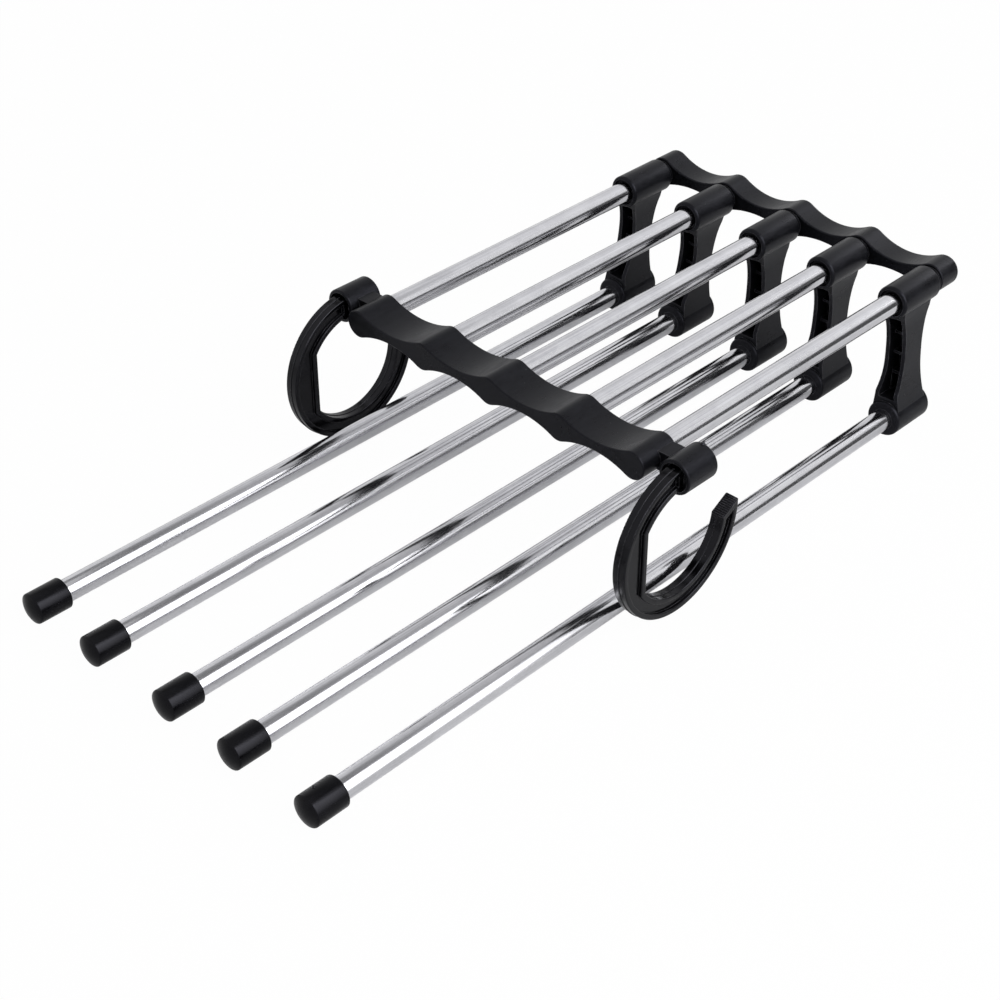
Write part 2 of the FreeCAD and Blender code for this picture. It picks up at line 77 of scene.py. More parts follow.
# Caps: a gate mark is turned about its rod, from the top towards +X.
CAP_DIAMETER = 0.0123
CAP_END_WALL = 0.002
CAP_DOME_SLOPE = 28.0
CAP_DOME_STEPS = 10
CAP_EDGE_ROUND = 0.0008
CAP_RIM_ROUND = 0.0004
CAP_ROUND_STEPS = 6
CAP_SEGMENTS = 96
CAP_CREASE_ANGLE = 40.0
CAP_GATE_TURNS = {1: 200.0, 2: 236.0, 3: 160.0, 4: 160.0, 5: -20.0}
CAP_GATE_INSET = 0.0073

# Links: a drop is measured down from the upper axis, and a depth back from the front of the link.
# A web curve is the drop and depth of its waist, then two bends, above the waist and below it, each as the
# reach, the change of depth at that reach, and the power.
LINK_FRONT = 0.14095
LINK_UPPER_RADIUS = 0.0071
LINK_LOWER_RADIUS = 0.0077
WEB_TOP = 0.0043
WEB_BOTTOM = 0.0496
WEB_SLICES = 80
WEB_SLACK = 0.00002
WEB_FRONT_LIP = 0.0016
WEB_REAR_END = 0.0206
WEB_RIB_FRONT = 0.0094
WEB_CELL_BACK = 0.014
WEB_FRONT_CURVE = (0.022, 0.006, (0.0137, -0.0023, 2), (0.022, -0.0056, 3))
WEB_REAR_CURVE = (0.024, 0.0175, (0.017, 0.0031, 2), (0.026, 0.0031, 2))
SLICE_SNAP = 1e-7
MERGE_DISTANCE = 1e-6
CREASE_ANGLE = 30.0

# Hooks: turns go round the ring from +Y towards +Z. The ends of the seams are in radians.
HOOK_X = 0.0866
HOOK_CENTRE_Y = -0.00985
HOOK_CENTRE_Z = 0.0339
HOOK_RADIUS = 0.032
HOOK_INNER_RADIUS = 0.0236
HOOK_STRAIGHT_OFFSET = 0.0196
HOOK_THICKNESS = 0.0058
HOOK_TIP_RISE = 0.002
HOOK_TIP_CHAMFER = 0.0016
HOOK_TIP_SLOPE = 0.56
SLANT_START = -34.0
SLANT_FULL = -2.0
SLANT_LIMIT = 20.0
SEAM_BEAD = 0.0003
SEAM_ROOT = 1.7
SEAM_OUTER_TIP = 6.3
SEAM_INNER_TIP = 6.15
SEAM_STEPS = 96
RIDGE_BEAD = 0.00022
RIDGE_PITCH = 0.0009
RIDGE_COUNT = 10
RIDGE_FIRST = 0.7
RIDGE_WIDTH_SHARE = 0.86
COLLAR_RADIUS = 0.007
COLLAR_GATE_WIDTH = 0.0022
COLLAR_GATE_HEIGHT = 0.0006
COLLAR_GATE_INSET = 0.0006
COLLAR_GATE_SINK = 0.0003
COLLAR_GATE_TURN = -30.0

# Finishes.
TONE_LIFT = 2.2
DUST_COLOUR = (0.16, 0.16, 0.17)
STEEL_PALE = (0.635, 0.635, 0.66)
STEEL_DULL = (0.50, 0.50, 0.525)

# Studio: the shares of white that the floor shows, the world's light, and the photograph's camera.
FLOOR_REACH = 4.0
FLOOR_SEEN_WHITE = 0.98
FLOOR_MIRRORED_WHITE = 0.2
WORLD_LIGHT = 0.4
LAMP_TARGET = (0.0, 0.0, 0.04)
LAMP_TO_CARD = 0.002
SIDE_FOOT_REACH = -0.17
CEILING_HEIGHT = 1.0
REAR_CARD_HEIGHT = 0.98
CAMERA_PLACE = (0.43306, -0.46202, 0.45413)
CAMERA_TURN = 43.867
CAMERA_RISE = 35.512
CAMERA_LENS = 70.564
CAMERA_SENSOR = 36.0


def tier_x(tier):
    """Place of a tier along the beams."""
    return TIER_PITCH * (tier - MIDDLE_TIER)


def rod_place(tier):
    """Axis of a lower rod across the hanger, as (x, z)."""
    lean = math.radians(ARM_LEANS[tier])
    return tier_x(tier) + LINK_CENTRES * math.sin(lean), AXIS_HEIGHT - LINK_CENTRES * math.cos(lean)


class NodeTree:
    """Short ways to add and join the nodes of one tree."""

    def __init__(self, tree):
        self.tree = tree

    def add(self, kind, settings=None, **sockets):
        """A node with its settings made and its sockets, named with underscores, set or joined."""
        node = self.tree.nodes.new(kind)
        for name, value in (settings or {}).items():
            setattr(node, name, value)
        for name, value in sockets.items():
            self.give(node.inputs[name.replace("_", " ")], value)
        return node

    def give(self, socket, value):
        """Join a socket to another node's output, or set its own value."""
        if isinstance(value, bpy.types.NodeSocket):
            self.tree.links.new(value, socket)
        else:
            socket.default_value = value

    def math(self, operation, first, second=None, clamp=False):
        """The outcome of one operation on one or two values."""
        node = self.add("ShaderNodeMath", {"operation": operation, "use_clamp": clamp})
        self.give(node.inputs[0], first)
        if second is not None:
            self.give(node.inputs[1], second)
        return node.outputs[0]

    def ranged(self, value, low, high, to_low, to_high):
        """A value carried over from one range to another, and held inside it."""
        node = self.add("ShaderNodeMapRange", Value=value, From_Min=low, From_Max=high, To_Min=to_low,
                        To_Max=to_high)
        return node.outputs["Result"]

    def mixed(self, share, first, second):
        """A colour between two others."""
        node = self.add("ShaderNodeMix", {"data_type": "RGBA"})
        self.give(node.inputs["Factor"], share)
        self.give(node.inputs[6], first)
        self.give(node.inputs[7], second)
        return node.outputs[2]


def new_group(name, kind, inputs, outputs):
    """A node group with named sockets, and the nodes that stand for its two ends."""
    tree = bpy.data.node_groups.new(name, kind)
    for socket_name, socket_type, value in inputs:
        socket = tree.interface.new_socket(socket_name, in_out="INPUT", socket_type=socket_type)
        if value is not None:
            socket.default_value = value
    for socket_name, socket_type in outputs:
        tree.interface.new_socket(socket_name, in_out="OUTPUT", socket_type=socket_type)
    nodes = NodeTree(tree)
    start = nodes.add("NodeGroupInput")
    end = nodes.add("NodeGroupOutput")
    return tree, nodes, start.outputs, end.inputs


def make_moulded_grain():
    """Fine moulded grain with faint scuffs: an uneven roughness, a bump height and a change of tone."""
    tree, nodes, given, result = new_group(
        "moulded_grain", "ShaderNodeTree",
        (("Grain Scale", "NodeSocketFloat", 2600.0), ("Roughness", "NodeSocketFloat", 0.4),
         ("Spread", "NodeSocketFloat", 0.08)),
        (("Roughness", "NodeSocketFloat"), ("Height", "NodeSocketFloat"), ("Tone", "NodeSocketFloat")))
    place = nodes.add("ShaderNodeTexCoord").outputs["Object"]
    fine = nodes.add("ShaderNodeTexNoise", Vector=place, Scale=given["Grain Scale"], Detail=2.0)
    pebble = nodes.add("ShaderNodeTexVoronoi", {"feature": "SMOOTH_F1"}, Vector=place,
                       Scale=nodes.math("MULTIPLY", given["Grain Scale"], 0.6))
    flow = nodes.add("ShaderNodeTexNoise", Vector=place, Scale=70.0, Detail=4.0, Roughness=0.6)
    drawn = nodes.add("ShaderNodeMapping", Vector=place, Scale=(1.0, 0.25, 1.0))
    scuff = nodes.add("ShaderNodeTexNoise", Vector=drawn.outputs["Vector"], Scale=520.0, Detail=4.0,
                      Roughness=0.7)
    height = nodes.math("ADD", nodes.math("MULTIPLY", fine.outputs["Fac"], 0.6),
                        nodes.math("MULTIPLY", pebble.outputs["Distance"], 0.4))
    uneven = nodes.math("ADD", nodes.ranged(flow.outputs["Fac"], 0.3, 0.7, -0.6, 0.6),
                        nodes.ranged(scuff.outputs["Fac"], 0.35, 0.65, -0.7, 0.7))
    shift = nodes.math("MULTIPLY", uneven, given["Spread"])
    nodes.give(result["Roughness"], nodes.math("ADD", given["Roughness"], shift, clamp=True))
    nodes.give(result["Height"], height)
    nodes.give(result["Tone"], nodes.ranged(uneven, -1.0, 1.0, 0.0, 1.0))
    return tree


def make_edge_rub_and_highlight():
    """Worn edges with a painted highlight: a mask strong where the surface turns sharply, broken up by
    noise.
    """
    tree, nodes, given, result = new_group(
        "edge_rub", "ShaderNodeTree",
        (("Width", "NodeSocketFloat", 0.0006), ("Amount", "NodeSocketFloat", 0.8)),
        (("Mask", "NodeSocketFloat"),))
    rounded = nodes.add("ShaderNodeBevel", {"samples": 6}, Radius=given["Width"])
    true_normal = nodes.add("ShaderNodeNewGeometry").outputs["Normal"]
    likeness = nodes.add("ShaderNodeVectorMath", {"operation": "DOT_PRODUCT"})
    nodes.give(likeness.inputs[0], rounded.outputs["Normal"])
    nodes.give(likeness.inputs[1], true_normal)
    turned = nodes.ranged(likeness.outputs["Value"], 0.995, 0.8, 0.0, 1.0)
    place = nodes.add("ShaderNodeTexCoord").outputs["Object"]
    patches = nodes.add("ShaderNodeTexNoise", Vector=place, Scale=260.0, Detail=3.0)
    broken = nodes.ranged(patches.outputs["Fac"], 0.35, 0.65, 0.2, 1.0)
    # This mask pales the colour along edges: partly wear, partly a painted highlight along the rims.
    mask = nodes.math("MULTIPLY", nodes.math("MULTIPLY", turned, broken), given["Amount"])
    nodes.give(result["Mask"], mask)
    return tree


def make_dust_specks():
    """A few pale specks of dust and tiny nicks, as a mask."""
    tree, nodes, given, result = new_group(
        "dust_specks", "ShaderNodeTree",
        (("Scale", "NodeSocketFloat", 420.0), ("Size", "NodeSocketFloat", 0.07)),
        (("Mask", "NodeSocketFloat"),))
    place = nodes.add("ShaderNodeTexCoord").outputs["Object"]
    cells = nodes.add("ShaderNodeTexVoronoi", Vector=place, Scale=given["Scale"])
    spot = nodes.ranged(cells.outputs["Distance"], given["Size"], 0.0, 0.0, 1.0)
    chance = nodes.add("ShaderNodeSeparateColor", Color=cells.outputs["Color"]).outputs["Red"]
    chosen = nodes.math("GREATER_THAN", chance, 0.86)
    nodes.give(result["Mask"], nodes.math("MULTIPLY", spot, chosen))
    return tree


def make_drawn_lines():
    """Fine lines along a drawn and polished tube: an uneven roughness, a bump height and a tone."""
    tree, nodes, given, result = new_group(
        "drawn_lines", "ShaderNodeTree",
        (("Roughness", "NodeSocketFloat", 0.08), ("Spread", "NodeSocketFloat", 0.03)),
        (("Roughness", "NodeSocketFloat"), ("Height", "NodeSocketFloat"), ("Tone", "NodeSocketFloat")))
    place = nodes.add("ShaderNodeTexCoord").outputs["Object"]
    drawn = nodes.add("ShaderNodeMapping", Vector=place, Scale=(1.0, 0.006, 1.0))
    lines = nodes.add("ShaderNodeTexNoise", Vector=drawn.outputs["Vector"], Scale=2400.0, Detail=3.0)
    haze = nodes.add("ShaderNodeTexNoise", Vector=place, Scale=60.0, Detail=5.0, Roughness=0.65)
    uneven = nodes.math("ADD", nodes.ranged(lines.outputs["Fac"], 0.3, 0.7, -0.5, 0.5),
                        nodes.ranged(haze.outputs["Fac"], 0.35, 0.7, -0.5, 0.5))
    shift = nodes.math("MULTIPLY", uneven, given["Spread"])
    nodes.give(result["Roughness"], nodes.math("ADD", given["Roughness"], shift, clamp=True))
    nodes.give(result["Height"], lines.outputs["Fac"])
    nodes.give(result["Tone"], nodes.ranged(uneven, -0.7, 0.7, 0.0, 1.0))
    return tree


def new_material(name):
    """An empty material, and its nodes."""
    material = bpy.data.materials.new(name)
    material.use_nodes = True
    material.node_tree.nodes.clear()
    return material, NodeTree(material.node_tree)


def place_group(nodes, group, **sockets):
    """The outputs of a shader group placed with its own values."""
    return nodes.add("ShaderNodeGroup", {"node_tree": group}, **sockets).outputs


def make_moulded_plastic(name, colour, pale, roughness, spread, grain_scale, grain_depth, specular, tint):
    """Black moulded plastic with grain, pale edges that are part wear and part painted highlight, and a
    little dust.
    """
    material, nodes = new_material(name)
    grain = place_group(nodes, MOULDED_GRAIN, Grain_Scale=grain_scale, Roughness=roughness, Spread=spread)
    rub_and_highlight = place_group(nodes, EDGE_RUB_AND_HIGHLIGHT)
    dust = place_group(nodes, DUST_SPECKS)
    lifted = [value * TONE_LIFT for value in colour]
    toned = nodes.mixed(grain["Tone"], (*colour, 1.0), (*lifted, 1.0))
    # The edges are paled in the colour: partly wear, partly a painted highlight along the rims.
    edged_with_highlight = nodes.mixed(rub_and_highlight["Mask"], toned, (*pale, 1.0))
    dusty = nodes.mixed(dust["Mask"], edged_with_highlight, (*DUST_COLOUR, 1.0))
    bump = nodes.add("ShaderNodeBump", Strength=0.35, Distance=grain_depth, Height=grain["Height"])
    shader = nodes.add("ShaderNodeBsdfPrincipled", Base_Color=dusty, Roughness=grain["Roughness"],
                       Specular_IOR_Level=specular, Specular_Tint=(*tint, 1.0),
                       Normal=bump.outputs["Normal"])
    nodes.add("ShaderNodeOutputMaterial", Surface=shader.outputs["BSDF"])
    return material


def make_polished_steel():
    """Polished tube with fine drawn lines and a faint haze."""
    material, nodes = new_material("polished_steel")
    lines = place_group(nodes, DRAWN_LINES, Roughness=0.15, Spread=0.06)
    tone = nodes.mixed(lines["Tone"], (*STEEL_PALE, 1.0), (*STEEL_DULL, 1.0))
    bump = nodes.add("ShaderNodeBump", Strength=0.02, Distance=0.00002, Height=lines["Height"])
    shader = nodes.add("ShaderNodeBsdfPrincipled", Base_Color=tone, Roughness=lines["Roughness"],
                       Metallic=1.0, Normal=bump.outputs["Normal"])
    nodes.add("ShaderNodeOutputMaterial", Surface=shader.outputs["BSDF"])
    return material


MOULDED_GRAIN = make_moulded_grain()
EDGE_RUB_AND_HIGHLIGHT = make_edge_rub_and_highlight()
DUST_SPECKS = make_dust_specks()
DRAWN_LINES = make_drawn_lines()
# Each plastic's pale colour is laid along its edges: partly wear, partly a painted highlight.
BEAM_PLASTIC = make_moulded_plastic(
    "beam_plastic", colour=(0.003, 0.0031, 0.0038), pale=(0.11, 0.11, 0.122), roughness=0.33, spread=0.07,
    grain_scale=2400.0, grain_depth=0.00006, specular=0.14, tint=(0.82, 0.83, 1.0))
CAP_PLASTIC = make_moulded_plastic(
    "cap_plastic", colour=(0.0013, 0.0013, 0.0016), pale=(0.05, 0.05, 0.055), roughness=0.24, spread=0.05,
    grain_scale=3000.0, grain_depth=0.00004, specular=0.125, tint=(0.88, 0.88, 1.0))
RING_PLASTIC = make_moulded_plastic(
    "ring_plastic", colour=(0.0016, 0.0016, 0.0022), pale=(0.02, 0.02, 0.022), roughness=0.45, spread=0.06,
    grain_scale=2600.0, grain_depth=0.00005, specular=0.1, tint=(0.88, 0.88, 1.0))
HOOK_PLASTIC = make_moulded_plastic(
    "hook_plastic", colour=(0.0009, 0.0009, 0.0011), pale=(0.1, 0.1, 0.11), roughness=0.18, spread=0.06,
    grain_scale=1800.0, grain_depth=0.00003, specular=0.19, tint=(0.88, 0.88, 1.0))
POLISHED_STEEL = make_polished_steel()


def finish_solids():
    """The finish of the solids that stay in view: the beams and the retaining rings."""
    finishes = {"front_beam": BEAM_PLASTIC, "rear_beam": BEAM_PLASTIC}
    finishes.update({f"retaining_ring_{tier}": RING_PLASTIC for tier in TIERS})
    for node_name, finish in finishes.items():
        for material_slot in frame["nodes"][node_name].material_slots:
            material_slot.material = finish


def new_geometry_tree(name, *inputs):
    """A Geometry Nodes tree with its own named inputs and a finish."""
    return new_group(
        name, "GeometryNodeTree",
        (("Geometry", "NodeSocketGeometry", None), *inputs, ("Finish", "NodeSocketMaterial", None)),
        (("Geometry", "NodeSocketGeometry"),))


def end_tree(nodes, geometry, given, result):
    """The end of a Geometry Nodes tree, which makes copies real and sets the finish."""
    real = nodes.add("GeometryNodeRealizeInstances", Geometry=geometry)
    finished = nodes.add("GeometryNodeSetMaterial", Geometry=real.outputs["Geometry"],
                         Material=given["Finish"])
    nodes.give(result["Geometry"], finished.outputs["Geometry"])


def make_tube_tree():
    """A row of hollow tubes with broken edges, lying along Y."""
    tree, nodes, given, result = new_geometry_tree(
        "steel_tubes", ("Diameter", "NodeSocketFloat", TUBE_DIAMETER),
        ("Wall", "NodeSocketFloat", TUBE_WALL), ("Edge Break", "NodeSocketFloat", TUBE_EDGE_BREAK),
        ("Length", "NodeSocketFloat", 0.1), ("Count", "NodeSocketInt", 1),
        ("Pitch", "NodeSocketFloat", TIER_PITCH), ("First Place", "NodeSocketVector", (0.0, 0.0, 0.0)))
    middle = nodes.math("MULTIPLY", nodes.math("SUBTRACT", given["Diameter"], given["Wall"]), 0.5)
    ring = nodes.add("GeometryNodeCurvePrimitiveCircle", Resolution=TUBE_SEGMENTS, Radius=middle)
    wall = nodes.add("GeometryNodeCurvePrimitiveQuadrilateral", Width=given["Wall"], Height=given["Length"])
    eased = nodes.add("GeometryNodeFilletCurve", {"mode": "POLY"}, Curve=wall.outputs["Curve"], Count=1,
                      Radius=given["Edge Break"])
    swept = nodes.add("GeometryNodeCurveToMesh", Curve=ring.outputs["Curve"],
                      Profile_Curve=eased.outputs["Curve"])
    laid = nodes.add("GeometryNodeTransform", Geometry=swept.outputs["Mesh"],
                     Rotation=(math.radians(90.0), 0.0, 0.0))
    smooth = nodes.add("GeometryNodeSetShadeSmooth", Geometry=laid.outputs["Geometry"])
    bend = nodes.add("GeometryNodeInputMeshEdgeAngle").outputs["Unsigned Angle"]
    sharp = nodes.math("GREATER_THAN", bend, math.radians(CREASE_ANGLE))
    crisp = nodes.add("GeometryNodeSetShadeSmooth", {"domain": "EDGE"}, Geometry=smooth.outputs["Geometry"],
                      Selection=sharp, Shade_Smooth=False)
    step = nodes.add("ShaderNodeCombineXYZ", X=given["Pitch"])
    row = nodes.add("GeometryNodeMeshLine", Count=given["Count"], Start_Location=given["First Place"],
                    Offset=step.outputs["Vector"])
    tubes = nodes.add("GeometryNodeInstanceOnPoints", Points=row.outputs["Mesh"],
                      Instance=crisp.outputs["Geometry"])
    end_tree(nodes, tubes.outputs["Instances"], given, result)
    return tree


def make_gate_tree():
    """The broken-off stub that a moulding's gate leaves: a low pad with a nub on it."""
    tree, nodes, given, result = new_geometry_tree(
        "gate_mark", ("Width", "NodeSocketFloat", 0.0016), ("Height", "NodeSocketFloat", 0.0003),
        ("Place", "NodeSocketVector", (0.0, 0.0, 0.0)), ("Turn", "NodeSocketVector", (0.0, 0.0, 0.0)))
    pad = nodes.add("GeometryNodeMeshCone", Vertices=16,
                    Radius_Bottom=nodes.math("MULTIPLY", given["Width"], 0.5),
                    Radius_Top=nodes.math("MULTIPLY", given["Width"], 0.4), Depth=given["Height"])
    nub = nodes.add("GeometryNodeMeshCone", Vertices=10,
                    Radius_Bottom=nodes.math("MULTIPLY", given["Width"], 0.22),
                    Radius_Top=nodes.math("MULTIPLY", given["Width"], 0.12),
                    Depth=nodes.math("MULTIPLY", given["Height"], 2.2))
    both = nodes.add("GeometryNodeJoinGeometry")
    nodes.give(both.inputs["Geometry"], pad.outputs["Mesh"])
    nodes.give(both.inputs["Geometry"], nub.outputs["Mesh"])
    placed = nodes.add("GeometryNodeTransform", Geometry=both.outputs["Geometry"],
                       Translation=given["Place"], Rotation=given["Turn"])
    end_tree(nodes, placed.outputs["Geometry"], given, result)
    return tree


def make_seam_tree():
    """Fine raised seams left by the mould round a hook: outside its ring, inside it and up its straight."""
    tree, nodes, given, result = new_geometry_tree(
        "mould_seams", ("Bead", "NodeSocketFloat", SEAM_BEAD),
        ("Outer Radius", "NodeSocketFloat", HOOK_RADIUS),
        ("Inner Radius", "NodeSocketFloat", HOOK_INNER_RADIUS),
        ("Straight Offset", "NodeSocketFloat", HOOK_STRAIGHT_OFFSET), ("Root", "NodeSocketFloat", SEAM_ROOT),
        ("Tip", "NodeSocketFloat", SEAM_OUTER_TIP), ("Inner Tip", "NodeSocketFloat", SEAM_INNER_TIP),
        ("Centre", "NodeSocketVector", (0.0, 0.0, 0.0)))
    corner = nodes.math("ARCCOSINE", nodes.math("DIVIDE", given["Straight Offset"], given["Inner Radius"]))
    straight_top = nodes.math("SUBTRACT", math.pi, corner)
    straight_foot = nodes.math("ADD", corner, math.pi)
    half_height = nodes.math("MULTIPLY", given["Inner Radius"], nodes.math("SINE", corner))
    front = nodes.math("MULTIPLY", given["Straight Offset"], -1.0)
    top = nodes.add("ShaderNodeCombineXYZ", X=front, Y=half_height)
    foot = nodes.add("ShaderNodeCombineXYZ", X=front, Y=nodes.math("MULTIPLY", half_height, -1.0))
    paths = nodes.add("GeometryNodeJoinGeometry")
    for radius, start, end in ((given["Outer Radius"], given["Root"], given["Tip"]),
                               (given["Inner Radius"], given["Root"], straight_top),
                               (given["Inner Radius"], straight_foot, given["Inner Tip"])):
        arc = nodes.add("GeometryNodeCurveArc", {"mode": "RADIUS"}, Resolution=SEAM_STEPS, Radius=radius,
                        Start_Angle=start, Sweep_Angle=nodes.math("SUBTRACT", end, start))
        nodes.give(paths.inputs["Geometry"], arc.outputs["Curve"])
    straight = nodes.add("GeometryNodeCurvePrimitiveLine", Start=top.outputs["Vector"],
                         End=foot.outputs["Vector"])
    nodes.give(paths.inputs["Geometry"], straight.outputs["Curve"])
    bead = nodes.add("GeometryNodeCurvePrimitiveCircle", Resolution=8, Radius=given["Bead"])
    swept = nodes.add("GeometryNodeCurveToMesh", Curve=paths.outputs["Geometry"],
                      Profile_Curve=bead.outputs["Curve"], Fill_Caps=True)
    upright = nodes.add("GeometryNodeTransform", Geometry=swept.outputs["Mesh"], Translation=given["Centre"],
                        Rotation=(math.radians(90.0), 0.0, math.radians(90.0)))
    end_tree(nodes, upright.outputs["Geometry"], given, result)
    return tree


def make_ridge_tree():
    """A row of fine ridges that lie along X."""
    tree, nodes, given, result = new_geometry_tree(
        "tip_ridges", ("Bead", "NodeSocketFloat", RIDGE_BEAD), ("Length", "NodeSocketFloat", 0.005),
        ("Count", "NodeSocketInt", 4), ("First Place", "NodeSocketVector", (0.0, 0.0, 0.0)),
        ("Step", "NodeSocketVector", (0.0, 0.0, 0.0)))
    bar = nodes.add("GeometryNodeMeshCylinder", Vertices=8, Radius=given["Bead"], Depth=given["Length"])
    laid = nodes.add("GeometryNodeTransform", Geometry=bar.outputs["Mesh"],
                     Rotation=(0.0, math.radians(90.0), 0.0))
    row = nodes.add("GeometryNodeMeshLine", Count=given["Count"], Start_Location=given["First Place"],
                    Offset=given["Step"])
    ridges = nodes.add("GeometryNodeInstanceOnPoints", Points=row.outputs["Mesh"],
                       Instance=laid.outputs["Geometry"])
    end_tree(nodes, ridges.outputs["Instances"], given, result)
    return tree


def grow(name, tree, body, **inputs):
    """A piece grown by a Geometry Nodes tree, turned into a plain mesh that rides on a body."""
    piece = bpy.data.objects.new(name, bpy.data.meshes.new(name))
    bpy.context.scene.collection.objects.link(piece)
    modifier = piece.modifiers.new(name, "NODES")
    modifier.node_group = tree
    for socket in tree.interface.items_tree:
        key = socket.name.replace(" ", "_")
        if socket.in_out == "INPUT" and key in inputs:
            modifier[socket.identifier] = inputs[key]
    evaluated = piece.evaluated_get(bpy.context.evaluated_depsgraph_get())
    grown = bpy.data.meshes.new_from_object(evaluated)
    piece.modifiers.remove(modifier)
    piece.data = grown
    grown.name = name
    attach(piece, body)
    return piece


def shape_piece(name, form, body, finish, crease_angle):
    """A piece made from a form, shaded smooth between its creases, that rides on a body."""
    mesh = bpy.data.meshes.new(name)
    form.to_mesh(mesh)
    form.free()
    if "custom_normal" in mesh.attributes:
        mesh.attributes.remove(mesh.attributes["custom_normal"])
    mesh.shade_smooth()
    mesh.set_sharp_from_angle(angle=math.radians(crease_angle))
    mesh.materials.append(finish)
    piece = bpy.data.objects.new(name, mesh)
    bpy.context.scene.collection.objects.link(piece)
    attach(piece, body)
    return piece


def merged_copy(node_name):
    """A copy of a solid's mesh, with its loose triangles merged, as a form to reshape."""
    form = bmesh.new()
    form.from_mesh(frame["nodes"][node_name].data)
    bmesh.ops.remove_doubles(form, verts=form.verts, dist=MERGE_DISTANCE)
    return form


def lay_tubes():
    """The five upper tubes in the frame, and a lower rod on each arm."""
    tree = make_tube_tree()
    low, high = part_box("upper_tube_1")
    upper = grow("upper_tubes", tree, "frame", Length=high.y - low.y, Count=len(TIERS),
                 First_Place=(tier_x(1), (low.y + high.y) / 2, AXIS_HEIGHT), Finish=POLISHED_STEEL)
    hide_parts(*[f"upper_tube_{tier}" for tier in TIERS])
    for tier in TIERS:
        low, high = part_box(f"lower_rod_{tier}")
        x, z = rod_place(tier)
        rod = grow(f"long_rod_{tier}", tree, f"arm_{tier}", Length=high.y - low.y,
                   First_Place=(x, (low.y + high.y) / 2, z), Finish=POLISHED_STEEL)
        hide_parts(f"lower_rod_{tier}")


def web_edge(curve, drop):
    """Depth of a link's web at a drop below the upper axis: two bends that leave the waist evenly."""
    waist_drop, waist_depth, head, foot = curve
    reach, change, power = head if drop < waist_drop else foot
    depth = waist_depth + change * abs((drop - waist_drop) / reach) ** power
    return min(max(depth, WEB_FRONT_LIP), WEB_REAR_END)


def is_web(vert):
    """Whether a point of an upright link lies on its web, outside both collars."""
    across, depth, height = vert.co
    in_depth = WEB_FRONT_LIP - WEB_SLACK < depth < WEB_REAR_END + WEB_SLACK
    in_height = -WEB_BOTTOM < height < -WEB_TOP
    off_upper = math.hypot(across, height) > LINK_UPPER_RADIUS - WEB_SLACK
    off_lower = math.hypot(across, height + LINK_CENTRES) > LINK_LOWER_RADIUS - WEB_SLACK
    return in_depth and in_height and off_upper and off_lower


def curve_web(form):
    """Slice an upright link's web across, and bring its front and rear edges onto even curves."""
    slice_height = (WEB_BOTTOM - WEB_TOP) / WEB_SLICES
    drops = [WEB_TOP + slice_height * (step + 0.5) for step in range(WEB_SLICES)]
    for drop in drops:
        faces = [face for face in form.faces if all(is_web(vert) for vert in face.verts)]
        edges = {edge for face in faces for edge in face.edges}
        verts = {vert for face in faces for vert in face.verts}
        bmesh.ops.bisect_plane(form, geom=[*verts, *edges, *faces], dist=SLICE_SNAP,
                               plane_co=(0.0, 0.0, -drop), plane_no=(0.0, 0.0, 1.0))
    web = [vert for vert in form.verts if is_web(vert)]
    limits = []
    for drop in drops:
        depths = [vert.co.y for vert in web if abs(vert.co.z + drop) < MERGE_DISTANCE]
        limits.append(Vector((min(depths), max(depths))))
    for vert in web:
        drop = -vert.co.z
        place = min(max((drop - drops[0]) / slice_height, 0.0), WEB_SLICES - 1)
        step = min(int(place), WEB_SLICES - 2)
        front, rear = limits[step].lerp(limits[step + 1], place - step)
        if vert.co.y < WEB_RIB_FRONT:
            share = (WEB_RIB_FRONT - vert.co.y) / (WEB_RIB_FRONT - front)
            vert.co.y += share * (web_edge(WEB_FRONT_CURVE, drop) - front)
        elif vert.co.y > WEB_CELL_BACK:
            share = (vert.co.y - WEB_CELL_BACK) / (rear - WEB_CELL_BACK)
            vert.co.y += share * (web_edge(WEB_REAR_CURVE, drop) - rear)


def shape_links():
    """The swing links, whose webs narrow to the waist in even curves."""
    for tier in TIERS:
        form = merged_copy(f"link_{tier}")
        lean = Matrix.Rotation(math.radians(-ARM_LEANS[tier]), 4, "Y")
        place = Matrix.Translation((tier_x(tier), LINK_FRONT, AXIS_HEIGHT)) @ lean
        form.transform(place.inverted())
        curve_web(form)
        form.transform(place)
        bmesh.ops.triangulate(form, faces=form.faces)
        link = shape_piece(f"waisted_link_{tier}", form, f"arm_{tier}", BEAM_PLASTIC, CREASE_ANGLE)
        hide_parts(f"link_{tier}")


def cap_outline(front, back):
    """Half the cut through an end cap as (radius, y) points, from its domed front round to its bore."""
    radius = CAP_DIAMETER / 2
    bore = TUBE_DIAMETER / 2
    slope = math.radians(CAP_DOME_SLOPE)
    dome_radius = radius - CAP_EDGE_ROUND * (1 - math.sin(slope))
    dome_rise = dome_radius * math.tan(slope) / 2
    edge_y = front + dome_rise + CAP_EDGE_ROUND * math.cos(slope)
    points = [(0.0, front)]
    for step in range(1, CAP_DOME_STEPS + 1):
        share = step / CAP_DOME_STEPS
        points.append((dome_radius * share, front + dome_rise * share ** 2))
    for step in range(1, CAP_ROUND_STEPS + 1):
        turn = slope + (math.pi / 2 - slope) * step / CAP_ROUND_STEPS
        points.append((radius - CAP_EDGE_ROUND * (1 - math.sin(turn)),
                       edge_y - CAP_EDGE_ROUND * math.cos(turn)))
    for step in range(CAP_ROUND_STEPS + 1):
        turn = math.pi / 2 * step / CAP_ROUND_STEPS
        points.append((radius - CAP_RIM_ROUND * (1 - math.cos(turn)),
                       back - CAP_RIM_ROUND * (1 - math.sin(turn))))
    points += [(bore + CAP_RIM_ROUND, back), (bore, back - CAP_RIM_ROUND), (bore, front + CAP_END_WALL),
               (0.0, front + CAP_END_WALL)]
    return points


